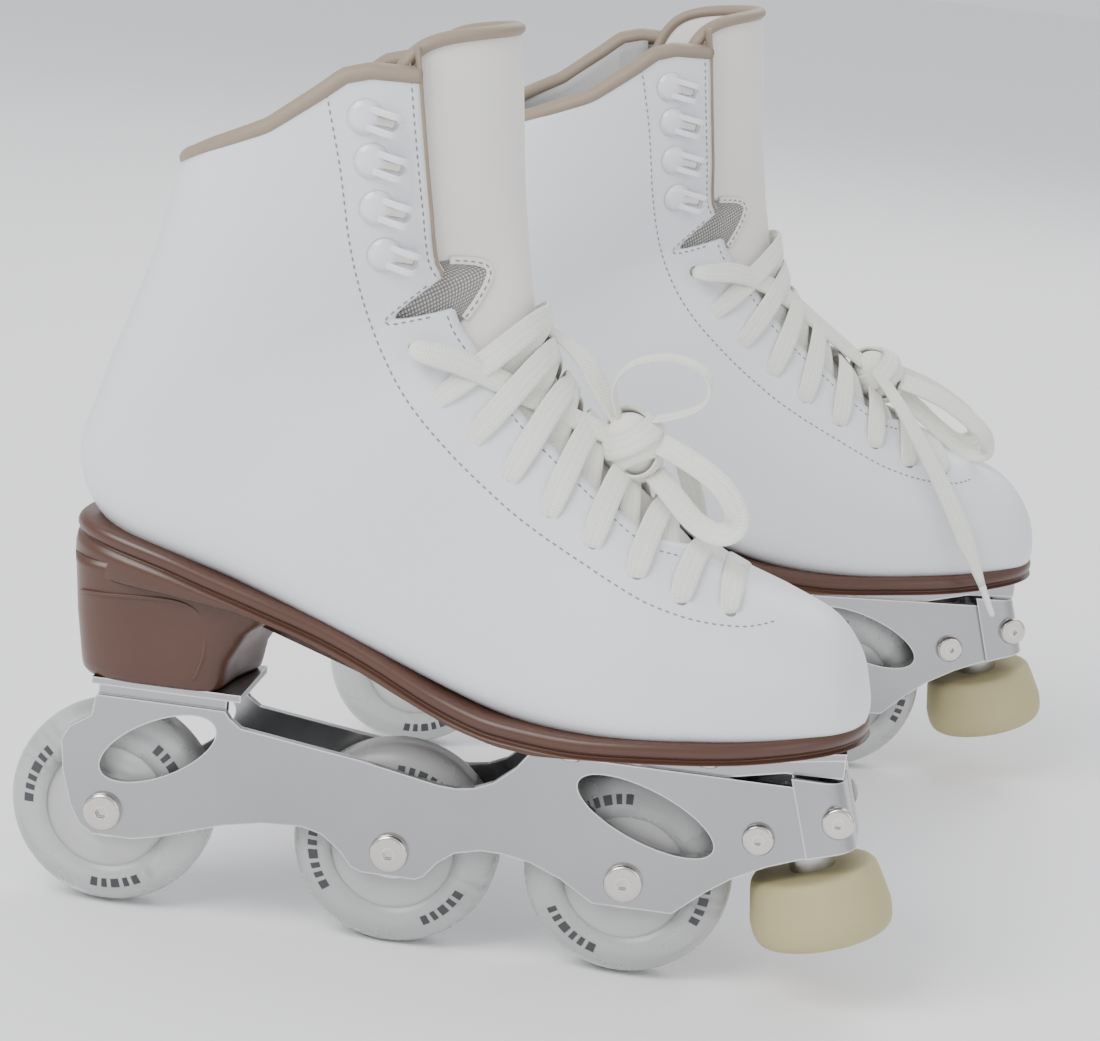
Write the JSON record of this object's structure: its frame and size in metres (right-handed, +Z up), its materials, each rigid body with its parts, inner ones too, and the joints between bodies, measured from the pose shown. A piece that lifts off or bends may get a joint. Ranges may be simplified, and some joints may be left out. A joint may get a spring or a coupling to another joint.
{
  "type": "pair of in-line figure skates",
  "caption": "Pair of in-line figure skates: white laced heeled boots on aluminium wheel frames with angled toe stops, wheels that spin and tongues that tilt.",
  "frame": {"origin": "centre of the bottom of the pair's bounding box, on the floor that the wheels stand on", "axes": "+X towards the toes along the right skate, +Y from the right skate to the left skate, +Z up"},
  "size_m": [0.3652, 0.3852, 0.3174],
  "materials": {
    "urethane": "translucent grey-white cast urethane, smooth with fine scuffs",
    "clear_hub": "clear to milky moulded nylon",
    "bearing_steel": "ground bearing steel",
    "plated_steel": "nickel plated steel",
    "brushed_aluminium": "brushed and polished aluminium",
    "stop_rubber": "khaki moulded rubber",
    "white_leather": "smooth cool-white coated leather",
    "lining_fabric": "grey-white woven lining",
    "brown_binding": "taupe rolled binding",
    "footbed_foam": "fabric-topped foam",
    "brown_sole": "semi-gloss brown moulded sole",
    "white_enamel": "white enamelled steel",
    "cream_tongue": "soft off-white padded tongue",
    "lace_cotton": "off-white flat woven lace",
    "aglet_plastic": "clear-white shrunk tip"
  },
  "bodies": {
    "right_skate": {"right_inner_rings": "bearing_steel", "right_frame_bolts": "plated_steel", "right_frame": "brushed_aluminium", "right_mount_screws": "plated_steel", "right_toe_stop_bracket": "brushed_aluminium", "right_upper": "white_leather", "right_lining": "lining_fabric", "right_collar_binding": "brown_binding", "right_footbed": "footbed_foam", "right_sole": "brown_sole", "right_hooks": "white_enamel", "right_tongue_lower": "cream_tongue", "right_lace": "lace_cotton", "right_aglets": "aglet_plastic", "right_lace_loop_1": "lace_cotton", "right_lace_loop_2": "lace_cotton", "right_lace_end_1": "lace_cotton", "right_lace_end_2": "lace_cotton"},
    "right_wheel_rear": {"right_tyre_rear": "urethane", "right_hub_rear": "clear_hub", "right_outer_rings_rear": "bearing_steel"},
    "right_wheel_middle": {"right_tyre_middle": "urethane", "right_hub_middle": "clear_hub", "right_outer_rings_middle": "bearing_steel"},
    "right_wheel_front": {"right_tyre_front": "urethane", "right_hub_front": "clear_hub", "right_outer_rings_front": "bearing_steel"},
    "right_toe_stop": {"right_toe_stop_stem": "bearing_steel", "right_toe_stop_pad": "stop_rubber"},
    "right_tongue": {"right_tongue_upper": "cream_tongue"},
    "left_skate": {"left_inner_rings": "bearing_steel", "left_frame_bolts": "plated_steel", "left_frame": "brushed_aluminium", "left_mount_screws": "plated_steel", "left_toe_stop_bracket": "brushed_aluminium", "left_upper": "white_leather", "left_lining": "lining_fabric", "left_collar_binding": "brown_binding", "left_footbed": "footbed_foam", "left_sole": "brown_sole", "left_hooks": "white_enamel", "left_tongue_lower": "cream_tongue", "left_lace": "lace_cotton", "left_aglets": "aglet_plastic", "left_lace_loop_1": "lace_cotton", "left_lace_loop_2": "lace_cotton", "left_lace_end_1": "lace_cotton", "left_lace_end_2": "lace_cotton"},
    "left_wheel_rear": {"left_tyre_rear": "urethane", "left_hub_rear": "clear_hub", "left_outer_rings_rear": "bearing_steel"},
    "left_wheel_middle": {"left_tyre_middle": "urethane", "left_hub_middle": "clear_hub", "left_outer_rings_middle": "bearing_steel"},
    "left_wheel_front": {"left_tyre_front": "urethane", "left_hub_front": "clear_hub", "left_outer_rings_front": "bearing_steel"},
    "left_toe_stop": {"left_toe_stop_stem": "bearing_steel", "left_toe_stop_pad": "stop_rubber"},
    "left_tongue": {"left_tongue_upper": "cream_tongue"}
  },
  "joints": [
    {"name": "right_wheel_rear_spin", "type": "hinge", "parent": "right_skate", "child": "right_wheel_rear", "pos_m": [-0.14663, -0.14612, 0.0368], "axis": [0, 1, 0], "continuous": true},
    {"name": "right_wheel_middle_spin", "type": "hinge", "parent": "right_skate", "child": "right_wheel_middle", "pos_m": [-0.04563, -0.14612, 0.036], "axis": [0, 1, 0], "continuous": true},
    {"name": "right_wheel_front_spin", "type": "hinge", "parent": "right_skate", "child": "right_wheel_front", "pos_m": [0.03537, -0.14612, 0.0368], "axis": [0, 1, 0], "continuous": true},
    {"name": "right_toe_stop_height", "type": "slide", "parent": "right_skate", "child": "right_toe_stop", "axis": [0.284, 0, -0.9588], "range_m": [-0.003, 0.008]},
    {"name": "right_tongue_tilt", "type": "hinge", "parent": "right_skate", "child": "right_tongue", "pos_m": [-0.02263, -0.14612, 0.247], "axis": [0, 1, 0], "range_deg": [0, 30]},
    {"name": "left_wheel_rear_spin", "type": "hinge", "parent": "left_skate", "child": "left_wheel_rear", "pos_m": [-0.08063, 0.09388, 0.0368], "axis": [-0.2756, 0.9613, 0], "continuous": true},
    {"name": "left_wheel_middle_spin", "type": "hinge", "parent": "left_skate", "child": "left_wheel_middle", "pos_m": [0.01645, 0.12172, 0.036], "axis": [-0.2756, 0.9613, 0], "continuous": true},
    {"name": "left_wheel_front_spin", "type": "hinge", "parent": "left_skate", "child": "left_wheel_front", "pos_m": [0.09432, 0.14405, 0.0368], "axis": [-0.2756, 0.9613, 0], "continuous": true},
    {"name": "left_toe_stop_height", "type": "slide", "parent": "left_skate", "child": "left_toe_stop", "axis": [0.273, 0.0783, -0.9588], "range_m": [-0.003, 0.008]},
    {"name": "left_tongue_tilt", "type": "hinge", "parent": "left_skate", "child": "left_tongue", "pos_m": [0.03856, 0.12806, 0.247], "axis": [-0.2756, 0.9613, 0], "range_deg": [0, 30]},
    {"name": "skates_apart", "type": "slide", "parent": "right_skate", "child": "left_skate", "axis": [0, 1, 0], "range_m": [0, 0.25]}
  ]
}
